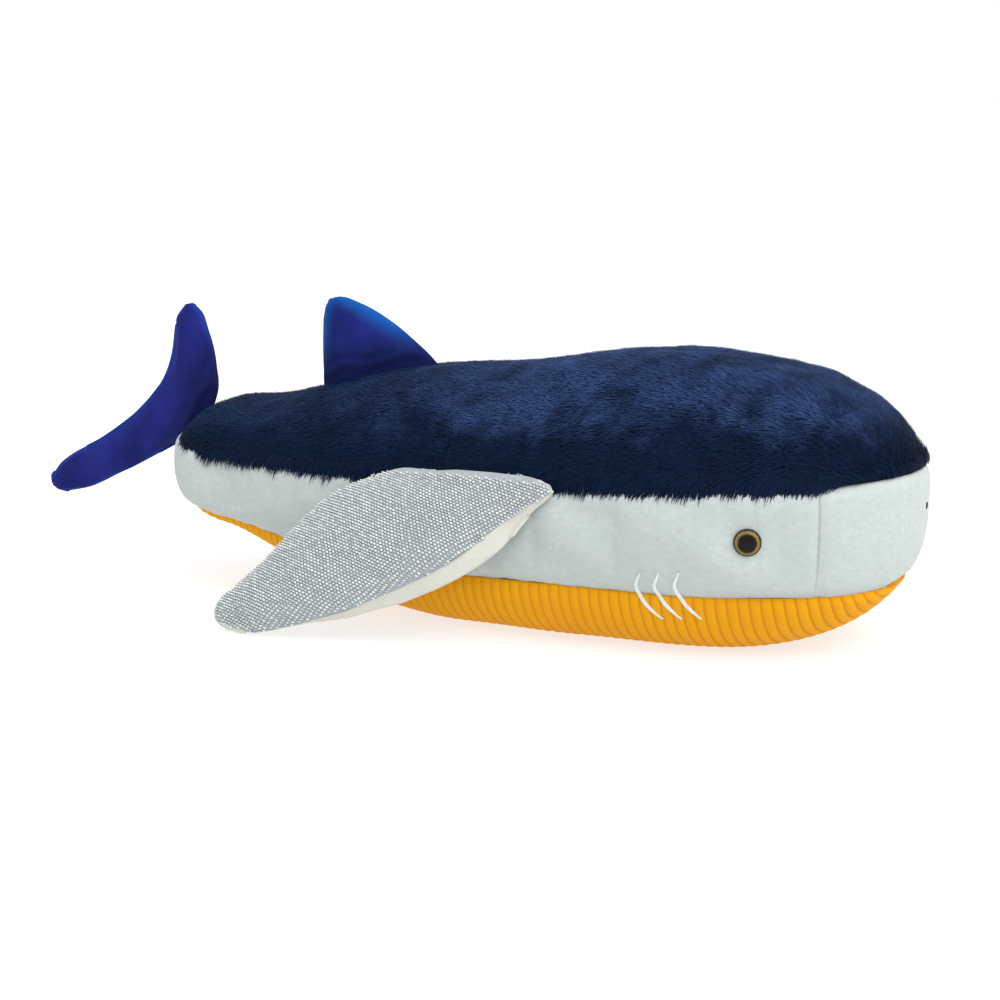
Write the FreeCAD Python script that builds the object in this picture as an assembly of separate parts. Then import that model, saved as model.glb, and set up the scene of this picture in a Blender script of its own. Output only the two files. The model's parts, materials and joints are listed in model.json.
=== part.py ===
import FreeCAD, Part
import math, os
from FreeCAD import Vector

# Plush shark, millimetres. +X is the snout, -X the tail, +Z up, and the belly rests on z = 0.
# The origin is on the ground under the middle of the whole length.

nose_x = 390.0          # front of the snout
rear_x = -236.0         # rear end of the body, where the tail fin is sewn on
snout_round_x = 198.0   # the body starts to close towards the snout here
rear_round_x = -177.0   # and towards the tail here
belly_sink = 4.0        # how far the round belly is pressed flat by its own weight

skin = 4.0              # fabric of the body with its pile
core_gap = 0.6          # between the fabric and the stuffing
seam_gap = 0.6          # between two panels at a seam
snout_seam_x = 338.0    # vertical seam between side and snout panels

eye_radius = 10.0
eye_height = 5.0
eye_stem_radius = 2.5
eye_stem_length = 15.0
eye_x, eye_z = 292.0, 94.0
washer_radius = 9.0
washer_thickness = 2.0

fin_skin = 1.8          # fabric of the fins
fin_rim = 2.0           # width of the sewn rim between the two fin panels
fin_split = 0.15        # half of the gap between the two fin panels
fin_core_gap = 0.5
thread_radius = 1.5     # the stitching along a fin's root, seen as one round cord
root_offset = 2.5       # a fin starts this far from its hinge axis

stripe_low, stripe_high = 0.3, 1.3      # satin stitching stands above the fabric
stripe_pitch = 15.3
stripe_width = 2.6
nose_stitch_y, nose_stitch_z = 8.0, 107.5

pectoral_droop = 62.7                   # degrees below horizontal
pectoral_rear = Vector(-25.0, -116.5, 119.0)    # right fin's root, rear and front end
pectoral_front = Vector(145.0, -127.5, 123.0)
dorsal_rear = Vector(-113.0, 0, 174.5)
dorsal_front = Vector(-10.0, 0, 197.0)
tail_top = Vector(-219.0, 0, 160.0)
tail_low = Vector(-243.0, 0, 118.0)

os.makedirs("parts", exist_ok=True)


def smooth(knots):
    """A curve through the knots that never overshoots them."""
    xs = [k[0] for k in knots]
    vs = [k[1] for k in knots]
    steps = [b - a for a, b in zip(xs, xs[1:])]
    slopes = [(b - a) / h for a, b, h in zip(vs, vs[1:], steps)]
    tangents = [slopes[0]]
    for i in range(1, len(slopes)):
        tangent = 0.0
        if slopes[i - 1] * slopes[i] > 0:
            near = 2 * steps[i] + steps[i - 1]
            far = steps[i] + 2 * steps[i - 1]
            tangent = (near + far) / (near / slopes[i - 1] + far / slopes[i])
        tangents.append(tangent)
    tangents.append(slopes[-1])

    def value(x):
        i = 0
        while i < len(steps) - 1 and x > xs[i + 1]:
            i += 1
        h = steps[i]
        t = (x - xs[i]) / h
        rise = (3 - 2 * t) * t * t
        start = t * (1 - t) ** 2 * h * tangents[i]
        end = t * t * (t - 1) * h * tangents[i + 1]
        return vs[i] * (1 - rise) + vs[i + 1] * rise + start + end
    return value


# body profiles along X: back, belly, widest height, half width, and the two long seams
back_line = smooth([(-252, 158), (-177, 160), (-110, 171), (-11, 193), (74, 200),
                    (158, 213), (228, 217), (400, 217)])
belly_line = smooth([(-252, 62), (-177, 52), (-102, 27), (-12, 1), (48, -belly_sink),
                     (400, -belly_sink)])
middle_line = smooth([(-252, 112), (-152, 104), (48, 106), (248, 112), (400, 122)])
half_width = smooth([(-252, 76), (-177, 76), (-92, 96), (8, 112), (128, 121), (198, 122),
                     (400, 122)])
fur_seam = smooth([(-300, 142), (-252, 136), (-202, 124), (-152, 118), (48, 120), (248, 130),
                   (348, 134), (420, 139)])
belly_seam = smooth([(-300, 82), (-252, 78), (-202, 70), (-152, 61), (48, 48), (148, 49),
                     (248, 50), (348, 51), (420, 49)])


def closing(x, start, end, power):
    reach = min(max((x - start) / (end - start), 0.0), 1.0)
    return (1 - reach ** power) ** (1 / power)


def body_size(x, depth):
    """Half width, top, bottom and widest height of the body, depth under its surface."""
    rear = closing(x, rear_round_x, rear_x + depth, 2.2)
    front = nose_x - depth
    side = closing(x, snout_round_x, front, 2.25) * rear
    upper = closing(x, snout_round_x, front, 2.5) * rear
    lower = closing(x, snout_round_x, front, 2.7) * rear
    middle = middle_line(x)
    return ((half_width(x) - depth) * side,
            middle + (back_line(x) - middle - depth) * upper,
            middle - (middle - belly_line(x) - depth) * lower,
            middle)


def body_side(x, z, depth=0.0):
    """Distance of the skin from the middle plane at a height."""
    half, top, bottom, middle = body_size(x, depth)
    if z >= middle:
        rise, power = (z - middle) / (top - middle), 2.3
    else:
        rise, power = (middle - z) / (middle - bottom), 3.2
    return half * (1 - min(rise, 1.0) ** power) ** (1 / power)


def body_ring(x, depth, count=28):
    half, top, bottom, middle = body_size(x, depth)
    points = []
    for i in range(count):
        angle = 2 * math.pi * i / count
        c, s = math.cos(angle), math.sin(angle)
        power, reach = (2.3, top - middle) if s >= 0 else (3.2, middle - bottom)
        y = half * math.copysign(abs(c) ** (2 / power), c)
        z = middle + reach * math.copysign(abs(s) ** (2 / power), s)
        points.append(Vector(x, y, z))
    ring = Part.BSplineCurve()
    ring.interpolate(Points=points, PeriodicFlag=True)
    return Part.Wire(ring.toShape())


def body_solid(depth):
    """The whole body as one solid, depth under the surface, pressed flat on the ground."""
    turns = (86.5, 80, 71, 60, 47, 32, 16)
    rear = [rear_round_x - (rear_round_x - rear_x - depth) * math.sin(math.radians(a))
            for a in turns]
    middle = [rear_round_x + (snout_round_x - rear_round_x) * i / 8 for i in range(9)]
    front = [snout_round_x + (nose_x - depth - snout_round_x) * math.sin(math.radians(a))
             for a in reversed(turns)]
    solid = Part.makeLoft([body_ring(x, depth) for x in rear + middle + front], True, False)
    ground = Part.makeBox(1000, 400, 100, Vector(-500, -200, depth - 100))
    return solid.cut(ground)


def band(lower, upper, x_from=-300.0, x_to=420.0):
    """A slab across the body between two height curves over X."""
    steps = 24
    xs = [x_from + (x_to - x_from) * i / steps for i in range(steps + 1)]
    below = [Vector(x, -200, lower(x)) for x in xs]
    above = [Vector(x, -200, upper(x)) for x in xs]
    edges = []
    for points in (below, above):
        line = Part.BSplineCurve()
        line.interpolate(points)
        edges.append(line.toShape())
    for i in (0, -1):
        edges.append(Part.makeLine(below[i], above[i]))
    face = Part.Face(Part.Wire(Part.__sortEdges__(edges)))
    return face.extrude(Vector(0, 400, 0))


def save(name, shape):
    shape.exportStep("parts/" + name + ".step")


def mirrored(shape):
    return shape.mirror(Vector(0, 0, 0), Vector(0, 1, 0))


def save_pair(name, right):
    save(name + "_right", right)
    save(name + "_left", mirrored(right))


def cylinder(start, along, radius, length):
    return Part.makeCylinder(radius, length, start, along)


# ---- eyes: a plastic dome on a stem that passes through the fabric into a washer ----

def skin_point(x, z):
    """Point on the right side of the body and the direction out of it."""
    spot = Vector(x, -body_side(x, z), z)
    ahead = Vector(x + 1, -body_side(x + 1, z), z) - spot
    above = Vector(x, -body_side(x, z + 1), z + 1) - spot
    outward = ahead.cross(above)
    outward.normalize()
    return spot, outward


eye_spot, eye_out = skin_point(eye_x, eye_z)
eye_lift = 0.6                      # the back of the dome clears the curved fabric
dome_sphere = (eye_radius ** 2 + eye_height ** 2) / (2 * eye_height)


def eye():
    back = eye_spot + eye_out * eye_lift
    centre = back - eye_out * (dome_sphere - eye_height)
    ball = Part.makeSphere(dome_sphere, centre)
    dome = ball.common(cylinder(back, eye_out, eye_radius + 1, eye_height + 1))
    stem = cylinder(back + eye_out * 0.5, -eye_out, eye_stem_radius, eye_stem_length + 0.5)
    return dome.fuse(stem).removeSplitter()


def eye_washer():
    face = eye_spot - eye_out * (skin + 0.7)
    ring = cylinder(face, -eye_out, washer_radius, washer_thickness)
    bore = cylinder(face + eye_out, -eye_out, eye_stem_radius + 0.1, washer_thickness + 2)
    return ring.cut(bore)


def eye_pocket():
    """What the eye and its washer need inside the stuffing."""
    start = eye_spot + eye_out * 5
    stem_room = cylinder(start, -eye_out, eye_stem_radius + 0.4, eye_stem_length + 6)
    washer_room = cylinder(start, -eye_out, washer_radius + 0.5, skin + washer_thickness + 6.2)
    return stem_room.fuse(washer_room)


stem_hole = cylinder(eye_spot + eye_out * 5, -eye_out, eye_stem_radius + 0.3, 14)
save_pair("eye", eye())
save_pair("eye_washer", eye_washer())

# ---- body: back, sides, snout and belly panels round one bag of stuffing ----

outside = body_solid(0)
fabric = outside.cut(body_solid(skin))
half_gap = seam_gap / 2
back_panel = fabric.common(band(lambda x: fur_seam(x) + half_gap, lambda x: 400))
belly_panel = fabric.common(band(lambda x: -50, lambda x: belly_seam(x) - half_gap))
middle_band = fabric.common(band(lambda x: belly_seam(x) + half_gap,
                                 lambda x: fur_seam(x) - half_gap))
ahead_of_seam = Part.makeBox(200, 400, 400, Vector(snout_seam_x + half_gap, -200, -50))
right_of_middle = Part.makeBox(snout_seam_x - half_gap + 400, 200 - half_gap, 400,
                               Vector(-400, -200, -50))
save("back_panel", back_panel)
save("belly_panel", belly_panel)
save("snout_panel", middle_band.common(ahead_of_seam))
save_pair("side_panel", middle_band.common(right_of_middle).cut(stem_hole))
pocket = eye_pocket()
save("body_stuffing", body_solid(skin + core_gap).cut(pocket).cut(mirrored(pocket)))

# ---- satin-stitched gill stripes and the small stitch on the snout ----

def stitched_bar(spine, widths):
    """A low raised bar of satin stitching that follows the skin through points (x, z)."""
    spots = [skin_point(x, z) for x, z in spine]
    wires = []
    for i, (spot, out) in enumerate(spots):
        along = spots[min(i + 1, len(spots) - 1)][0] - spots[max(i - 1, 0)][0]
        across = along.cross(out)
        across.normalize()
        low, high = spot + out * stripe_low, spot + out * stripe_high
        foot, crown = across * (widths[i] / 2), across * (widths[i] / 4)
        corners = [low - foot, high - crown, high + crown, low + foot]
        wires.append(Part.makePolygon(corners + corners[:1]))
    return Part.makeLoft(wires, True, True)


def gill_stripe(shift):
    """A crescent, bowed towards the tail, that crosses the belly seam."""
    line = smooth([(35, 230), (40, 220.5), (47, 213.2), (57, 210.8), (67.5, 213.5)])
    steps = 10
    spine, widths = [], []
    for i in range(steps + 1):
        z = 35 + 32.5 * i / steps
        spine.append((line(z) + shift, z + shift * 0.1))
        widths.append(0.8 + stripe_width * math.sin(math.pi * i / steps))
    return stitched_bar(spine, widths)


save_pair("gill_stripes", Part.makeCompound([gill_stripe(stripe_pitch * i) for i in range(3)]))
stitch_corner = Vector(nose_x + stripe_low, nose_stitch_y - 0.9, nose_stitch_z - 3)
nose_stitch = Part.makeBox(1.0, 1.8, 6.0, stitch_corner)
save("nose_stitch", nose_stitch)


# ---- fins: two fabric panels sewn round the rim, with stuffing between them ----

class Fin:
    """A lens-shaped pad through chords (from, to, half thickness); normal is its upper side."""

    def __init__(self, chords, normal, under=1.0):
        self.chords = chords
        self.normal = normal
        self.under = under          # how full the lower side is beside the upper side

    def arc(self, start, end, rise):
        points = []
        for i in range(9):
            s = 0.5 - 0.5 * math.cos(math.pi * i / 8)
            swell = (4 * s * (1 - s)) ** 0.6
            points.append(start + (end - start) * s + self.normal * (rise * swell))
        line = Part.BSplineCurve()
        line.interpolate(points)
        return line.toShape()

    def loft(self, inset, thinner, sides):
        """A solid from the arc of one side to the flat mid plane, or to the other side."""
        wires = []
        for start, end, thick in self.chords:
            along = end - start
            if along.Length < 2 * inset + 3:
                continue
            along.normalize()
            a, b = start + along * inset, end - along * inset
            rise = thick - thinner
            if len(sides) == 2:
                edges = [self.arc(a, b, rise), self.arc(b, a, -rise * self.under)]
            else:
                lift = self.normal * (fin_split * sides[0])
                full = 1.0 if sides[0] > 0 else self.under
                edges = [self.arc(a + lift, b + lift, sides[0] * rise * full),
                         Part.makeLine(b + lift, a + lift)]
            wires.append(Part.Wire(edges))
        return Part.makeLoft(wires, True, False)

    def panel(self, side):
        return self.loft(0, 0, [side]).cut(self.loft(fin_rim, fin_skin, [side]))

    def stuffing(self):
        return self.loft(fin_rim + fin_core_gap, fin_skin + fin_core_gap, [1, -1])


def flat_chords(origin, along, across, rows):
    """Rows (out, from, to, half thickness) as chords beside a root line."""
    return [(origin + across * out + along * low, origin + across * out + along * high, thick)
            for out, low, high, thick in rows]


def root_thread(start, end):
    return cylinder(start, end - start, thread_radius, (end - start).Length)


# pectoral fins: swept back, upper side of woven cloth, resting on the ground by the tip
root_along = pectoral_front - pectoral_rear
root_along.normalize()
droop = math.radians(pectoral_droop)
outward = Vector(0, -math.cos(droop), -math.sin(droop))
outward = outward - root_along * outward.dot(root_along)
outward.normalize()
pectoral_normal = outward.cross(root_along)
if pectoral_normal.z < 0:
    pectoral_normal = -pectoral_normal
pectoral_rows = [(root_offset, 0, 169, 3.2), (18, -11, 150, 9), (38, -29, 129, 14),
                 (56, -44, 109, 16.5), (72, -57, 86, 17), (88, -71, 58, 16.5),
                 (104, -86, 26, 14.5), (116, -91, -5, 11.5), (124, -87, -28, 8),
                 (128.5, -76, -45, 4.5), (130, -66, -56, 2.6)]
pectoral = Fin(flat_chords(pectoral_rear, root_along, outward, pectoral_rows),
               pectoral_normal, under=0.55)
save_pair("pectoral_top", pectoral.panel(1))
save_pair("pectoral_under", pectoral.panel(-1))
save_pair("pectoral_stuffing", pectoral.stuffing())
save_pair("pectoral_root_thread", root_thread(pectoral_rear, pectoral_front))


def upright(pairs):
    """Chords in the middle plane from (rear x, z, front x, z, half thickness)."""
    return [(Vector(ax, 0, az), Vector(bx, 0, bz), thick) for ax, az, bx, bz, thick in pairs]


# dorsal fin: a leaning triangle with a round tip
dorsal = Fin(upright([(-112, 177.3, -18, 197.8, 3.2), (-110, 192, -34, 209.5, 9),
                      (-108, 204, -50, 219.5, 11.5), (-106, 216, -68, 230.5, 10.5),
                      (-104, 226, -80, 237, 8), (-101, 235, -87.5, 240.5, 5),
                      (-97.5, 240, -93, 242, 2.6)]), Vector(0, -1, 0))
save("dorsal_right", dorsal.panel(1))
save("dorsal_left", dorsal.panel(-1))
save("dorsal_stuffing", dorsal.stuffing())
save("dorsal_root_thread", root_thread(dorsal_rear, dorsal_front))

# tail fin: an upright crescent, sewn to the body by the middle of its front edge
tail = Fin(upright([(-245, 229.5, -237, 231, 2.6), (-253, 219, -229, 223, 6.5),
                    (-255.5, 208, -224, 210, 9), (-258.5, 191, -221, 191, 11),
                    (-264, 174, -221, 174, 12), (-272.5, 160, -222.5, 161, 12.5),
                    (-287, 145, -234.5, 139.5, 12.5), (-299, 134, -246, 119, 12.5),
                    (-312, 124.5, -270, 104, 12), (-325, 116, -291, 92, 11.5),
                    (-345, 104, -318, 79, 11), (-363, 95, -344, 67, 10),
                    (-378, 85, -368, 60, 8), (-386.5, 76, -383, 59.5, 5),
                    (-391, 70, -390, 64, 2.6)]), Vector(0, -1, 0))
save("tail_fin_right", tail.panel(1))
save("tail_fin_left", tail.panel(-1))
save("tail_fin_stuffing", tail.stuffing())
save("tail_root_thread", root_thread(tail_low, tail_top))
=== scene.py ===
import bpy, bmesh, json, math
import numpy as np
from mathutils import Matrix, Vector
from mathutils.bvhtree import BVHTree

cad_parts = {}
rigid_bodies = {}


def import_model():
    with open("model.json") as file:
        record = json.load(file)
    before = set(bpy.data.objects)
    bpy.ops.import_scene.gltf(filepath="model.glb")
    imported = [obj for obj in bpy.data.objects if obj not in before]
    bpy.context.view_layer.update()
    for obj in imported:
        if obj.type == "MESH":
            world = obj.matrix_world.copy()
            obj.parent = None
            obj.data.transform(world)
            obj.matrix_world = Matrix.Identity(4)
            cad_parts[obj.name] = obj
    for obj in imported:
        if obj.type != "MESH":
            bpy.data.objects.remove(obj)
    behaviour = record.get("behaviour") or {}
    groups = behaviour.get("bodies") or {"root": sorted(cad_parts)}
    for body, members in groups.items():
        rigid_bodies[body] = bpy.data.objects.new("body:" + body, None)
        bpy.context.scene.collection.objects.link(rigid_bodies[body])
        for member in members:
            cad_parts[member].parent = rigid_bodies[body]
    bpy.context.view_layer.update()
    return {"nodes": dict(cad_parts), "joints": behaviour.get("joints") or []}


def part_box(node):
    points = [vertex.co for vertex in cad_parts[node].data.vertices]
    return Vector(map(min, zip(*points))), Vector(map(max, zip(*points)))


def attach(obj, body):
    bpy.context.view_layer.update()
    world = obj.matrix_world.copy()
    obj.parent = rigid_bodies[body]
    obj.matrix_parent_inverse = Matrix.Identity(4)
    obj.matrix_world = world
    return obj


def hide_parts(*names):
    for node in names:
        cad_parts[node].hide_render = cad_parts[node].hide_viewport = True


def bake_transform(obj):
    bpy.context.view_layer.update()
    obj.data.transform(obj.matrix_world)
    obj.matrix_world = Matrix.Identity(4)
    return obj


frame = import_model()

# Plush shark. Lengths here are millimetres and become metres when a mesh is made.
# +X is the snout, +Z up, and the belly lies on z = 0.
mm = 0.001
joints = {j["name"]: j for j in frame["joints"]}

body = {
    "nose": 390.0, "rear": -236.0, "snoutRound": 198.0, "rearRound": -177.0,
    "noseRadius": 122, "rearRadius": 72,        # of the panel grid's round ends
    "upperPower": 2.3, "lowerPower": 3.2,       # how square the body is across
    "rearClose": 2.2, "sideClose": 2.25, "topClose": 2.5, "bottomClose": 2.7,
    "archFront": 262.0, "archRear": -176.0,     # centres of the round ends of the panel grid
    "back": [(-252, 158), (-177, 160), (-110, 171), (-11, 193), (74, 200), (158, 213),
             (228, 217), (400, 217)],
    "belly": [(-252, 62), (-177, 52), (-102, 27), (-12, 1), (48, -4), (400, -4)],
    "middle": [(-252, 112), (-152, 104), (48, 106), (248, 112), (400, 122)],
    "half": [(-252, 76), (-177, 76), (-92, 96), (8, 112), (128, 121), (198, 122), (400, 122)],
    "furSeam": [(-300, 142), (-252, 136), (-202, 124), (-152, 118), (48, 120), (248, 130),
                (348, 134), (420, 139)],
    "bellySeam": [(-300, 82), (-252, 78), (-202, 70), (-152, 61), (48, 48), (148, 49),
                  (248, 50), (348, 51), (420, 49)],
    "snoutSeam": 338.0,
}


# curves, noise and grids

def smooth(knots):
    # a curve through the knots that never overshoots them
    xs, vs = np.array(knots, float).T
    steps = np.diff(xs)
    slopes = np.diff(vs) / steps
    near, far = 2 * steps[1:] + steps[:-1], steps[1:] + 2 * steps[:-1]
    left, right = slopes[:-1], slopes[1:]
    level = left * right <= 0
    safeLeft, safeRight = np.where(level, 1, left), np.where(level, 1, right)
    inner = np.where(level, 0, (near + far) / (near / safeLeft + far / safeRight))
    tangents = np.concatenate([slopes[:1], inner, slopes[-1:]])

    def value(x):
        i = np.clip(np.searchsorted(xs, x) - 1, 0, len(steps) - 1)
        t = (x - xs[i]) / steps[i]
        rise = (3 - 2 * t) * t * t
        start = t * (1 - t) ** 2 * steps[i] * tangents[i]
        end = t * t * (t - 1) * steps[i] * tangents[i + 1]
        return vs[i] * (1 - rise) + vs[i + 1] * rise + start + end
    return value


def wander(points, size, seed=0):
    # smooth noise from -1 to 1 at each point, with lumps about as large as size
    cell = np.asarray(points, float) / size + seed * 17.31
    low = np.floor(cell).astype(np.int64)
    t = cell - low
    t = t * t * t * (t * (t * 6 - 15) + 10)
    total = 0
    for corner in range(8):
        step = np.array([corner & 1, corner >> 1 & 1, corner >> 2 & 1])
        n = (low + step) @ np.array([73856093, 19349663, 83492791])
        n = (n ^ (n >> 13)) * 1274126177
        n = (n ^ (n >> 16)) & 0xFFFF
        weight = np.prod(np.where(step == 1, t, 1 - t), axis=-1)
        total = total + weight * (n / 32767.5 - 1)
    return total


def unit(v):
    return v / np.maximum(np.linalg.norm(v, axis=-1, keepdims=True), 1e-9)


def onCloth(v, out):
    # the part of a direction that lies on a surface with the outward direction out
    return v - out * np.sum(v * out, -1, keepdims=True)


def lumps(points, size, seeds):
    # three smooth noises as one vector at each point
    return np.stack([wander(points, size, k) for k in seeds], -1)


def fade(x, low, high):
    t = np.clip((x - low) / (high - low), 0, 1)
    return t * t * (3 - 2 * t)


def sample(grid, rows, cols, wrap=False):
    # cubic interpolation of a grid of points at fractional rows and columns
    def along(a, at, axis, wrapped):
        count = a.shape[axis]
        low = np.floor(at).astype(int)
        if not wrapped:
            low = np.clip(low, 0, count - 2)
        t = at - low
        weights = (-0.5 * t + t * t - 0.5 * t ** 3, 1 - 2.5 * t * t + 1.5 * t ** 3,
                   0.5 * t + 2 * t * t - 1.5 * t ** 3, -0.5 * t * t + 0.5 * t ** 3)
        total = 0
        for k, w in enumerate(weights):
            i = low + k - 1
            i = i % count if wrapped else np.clip(i, 0, count - 1)
            shape = [1] * a.ndim
            shape[axis] = len(at)
            total = total + np.take(a, i, axis=axis) * w.reshape(shape)
        return total
    return along(along(grid, rows, 0, False), cols, 1, wrap)


poles = []


def gridNormals(grid, wrap=False):
    down = np.gradient(grid, axis=0)
    if wrap:
        across = np.roll(grid, -1, 1) - np.roll(grid, 1, 1)
    else:
        across = np.gradient(grid, axis=1)
    normal = unit(np.cross(across, down))
    for spot in poles:      # where the columns of the body meet, straight up or straight down
        near = 1 - fade(np.linalg.norm(grid - spot, axis=-1), 5, 16)[..., None]
        normal = unit(normal * (1 - near) + np.array([0, 0, 1.0 if spot[2] > 100 else -1.0]) * near)
    return normal


# meshes

def newObject(name, mesh):
    thing = bpy.data.objects.new(name, mesh)
    bpy.context.scene.collection.objects.link(thing)
    return thing


def gridFaces(rows, cols, wrap=False, flip=False, start=0):
    r, c = np.meshgrid(np.arange(rows - 1), np.arange(cols if wrap else cols - 1), indexing="ij")
    right = (c + 1) % cols
    quads = np.stack([r * cols + c, r * cols + right, (r + 1) * cols + right, (r + 1) * cols + c],
                     -1).reshape(-1, 4) + start
    return quads[:, ::-1] if flip else quads


def cleanMesh(mesh, weld=0.0, close=False):
    # joins doubled corners, closes holes and turns the faces outwards
    edit = bmesh.new()
    edit.from_mesh(mesh)
    if weld:
        bmesh.ops.remove_doubles(edit, verts=edit.verts, dist=weld * mm)
        bmesh.ops.dissolve_degenerate(edit, edges=edit.edges, dist=weld * mm * 0.5)
    if close:
        bmesh.ops.holes_fill(edit, edges=edit.edges)
    bmesh.ops.recalc_face_normals(edit, faces=edit.faces)
    edit.to_mesh(mesh)
    edit.free()


def meshFrom(name, points, faces, values=None, weld=0.0):
    # a mesh from points in millimetres, with a number or a vector at each point under each name
    mesh = bpy.data.meshes.new(name)
    points = np.asarray(points, float) * mm
    sides = faces.shape[1]
    mesh.vertices.add(len(points))
    mesh.vertices.foreach_set("co", points.astype(np.float32).ravel())
    mesh.loops.add(faces.size)
    mesh.loops.foreach_set("vertex_index", faces.astype(np.int32).ravel())
    mesh.polygons.add(len(faces))
    mesh.polygons.foreach_set("loop_start", np.arange(0, faces.size, sides, dtype=np.int32))
    mesh.update(calc_edges=True)
    for key, data in (values or {}).items():
        kind = "FLOAT_VECTOR" if data.ndim == 2 else "FLOAT"
        spot = "vector" if data.ndim == 2 else "value"
        layer = mesh.attributes.new(key, kind, "POINT")
        layer.data.foreach_set(spot, data.astype(np.float32).ravel())
    mesh.polygons.foreach_set("use_smooth", np.ones(len(faces), bool))
    if weld:
        cleanMesh(mesh, weld)
    return newObject(name, mesh)


def panelMesh(name, outer, thick, wrap=False, values=None, weld=0.02):
    # a cloth panel as a closed shell: the outer grid, an inner grid, and the sewn rims
    rows, cols = outer.shape[:2]
    inner = outer - gridNormals(outer, wrap) * thick
    count = rows * cols
    faces = [gridFaces(rows, cols, wrap), gridFaces(rows, cols, wrap, True, count)]
    grid = np.arange(count).reshape(rows, cols)
    rims = [grid[0], grid[-1]] + ([] if wrap else [grid[:, 0], grid[:, -1]])
    for rim, flip in zip(rims, (True, False, False, True)):
        a, b = (rim, np.roll(rim, -1)) if wrap else (rim[:-1], rim[1:])
        quad = np.stack([a, b, b + count, a + count], -1)
        faces.append(quad[:, ::-1] if flip else quad)
    points = np.concatenate([outer.reshape(-1, 3), inner.reshape(-1, 3)])
    both = {key: np.concatenate([data.reshape(count, -1)] * 2).squeeze()
            for key, data in (values or {}).items()}
    return meshFrom(name, points, np.concatenate(faces), both, weld)


def shared(points, faces):
    # joins points that lie together, and gives triangles over the joined points
    _, first, back = np.unique(np.round(points, 3), axis=0, return_index=True, return_inverse=True)
    back = back.reshape(-1)
    quads = back[faces]
    triangles = np.concatenate([quads[:, [0, 1, 2]], quads[:, [0, 2, 3]]])
    a, b, c = triangles.T
    return points[first], triangles[(a != b) & (b != c) & (a != c)], back


def plump(name, grids, faces, pinned, fill):
    # cloth simulation of a stuffed bag; returns the same grids with their points moved
    shapes = [g.shape for g in grids]
    points = np.concatenate([g.reshape(-1, 3) for g in grids])
    joined, triangles, back = shared(points, faces)
    held = np.zeros(len(joined), bool)
    held[back[pinned]] = True
    bag = meshFrom(name, joined, triangles)
    cleanMesh(bag.data)
    group = bag.vertex_groups.new(name="sewn")
    group.add(np.nonzero(held)[0].tolist(), 1.0, "REPLACE")
    cloth = bag.modifiers.new("cloth", "CLOTH")
    for key, value in {
            "quality": 6, "mass": 0.3, "tension_stiffness": fill["stiff"],
            "compression_stiffness": fill["stiff"], "shear_stiffness": fill["stiff"] / 2,
            "bending_stiffness": fill["bend"], "air_damping": 3.0, "use_pressure": True,
            "uniform_pressure_force": fill["pressure"], "shrink_min": -fill["slack"],
            "vertex_group_mass": "sewn"}.items():
        setattr(cloth.settings, key, value)
    cloth.settings.effector_weights.gravity = 0.0
    cloth.collision_settings.use_collision = False
    scene = bpy.context.scene
    for step in range(1, fill["steps"] + 1):
        scene.frame_set(step)
    result = bag.evaluated_get(bpy.context.evaluated_depsgraph_get()).to_mesh()
    moved = np.zeros(len(joined) * 3, np.float32)
    result.vertices.foreach_get("co", moved)
    scene.frame_set(1)
    bpy.data.objects.remove(bag)
    shift = moved.reshape(-1, 3) / mm - joined
    reach = np.linalg.norm(shift, axis=1, keepdims=True)
    print(name, "moved up to", round(float(reach.max()), 1), "mm")
    shift *= np.minimum(1, fill["cap"] / np.maximum(reach, 1e-6))
    ends = np.concatenate([triangles[:, [0, 1]], triangles[:, [1, 2]], triangles[:, [2, 0]]])
    ends = np.concatenate([ends, ends[:, ::-1]])
    count = np.bincount(ends[:, 0], minlength=len(joined))[:, None]
    for _ in range(fill["smooth"]):     # the shift is evened out with the neighbours'
        around = np.stack([np.bincount(ends[:, 0], shift[ends[:, 1], k], len(joined))
                           for k in range(3)], -1)
        shift = 0.4 * shift + 0.6 * around / np.maximum(count, 1)
        shift[held] = 0
    points = (joined + shift)[back]
    cuts = np.cumsum([a * b for a, b, _ in shapes])[:-1]
    return [part.reshape(shape) for part, shape in zip(np.split(points, cuts), shapes)]


# the body's surface

backLine, bellyLine = smooth(body["back"]), smooth(body["belly"])
middleLine, halfWidth = smooth(body["middle"]), smooth(body["half"])
furSeam, bellySeam = smooth(body["furSeam"]), smooth(body["bellySeam"])


def closing(x, start, end, power):
    reach = np.clip((x - start) / (end - start), 0, 1)
    return np.maximum(1 - reach ** power, 0) ** (1 / power)


def bodySize(x):
    rear = closing(x, body["rearRound"], body["rear"], body["rearClose"])
    side, upper, lower = (closing(x, body["snoutRound"], body["nose"], body[power]) * rear
                          for power in ("sideClose", "topClose", "bottomClose"))
    middle = middleLine(x)
    return (halfWidth(x) * side, middle + (backLine(x) - middle) * upper,
            middle - (middle - bellyLine(x)) * lower, middle)


def insideBody(p):
    x, y, z = p[..., 0], p[..., 1], p[..., 2]
    half, top, bottom, middle = bodySize(x)
    high = z >= middle
    rise = np.where(high, (z - middle) / np.maximum(top - middle, 1e-6),
                    (middle - z) / np.maximum(middle - bottom, 1e-6))
    power = np.where(high, body["upperPower"], body["lowerPower"])
    within = (x > body["rear"]) & (x < body["nose"])
    full = (np.abs(y) / np.maximum(half, 1e-6)) ** power + np.abs(rise) ** power
    return within & (full < 1)


def halve(low, high, below, times):
    # closes in on where below(value) turns false
    for _ in range(times):
        middle = (low + high) / 2
        under = below(middle)
        low, high = np.where(under, middle, low), np.where(under, high, middle)
    return low, high


def castOut(origin, direction, reach=300.0):
    # where lines from inside the body leave it
    shape = origin.shape[:-1]
    low, _ = halve(np.zeros(shape), np.full(shape, reach),
                   lambda far: insideBody(origin + direction * far[..., None]), 34)
    return origin + direction * low[..., None]


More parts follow.
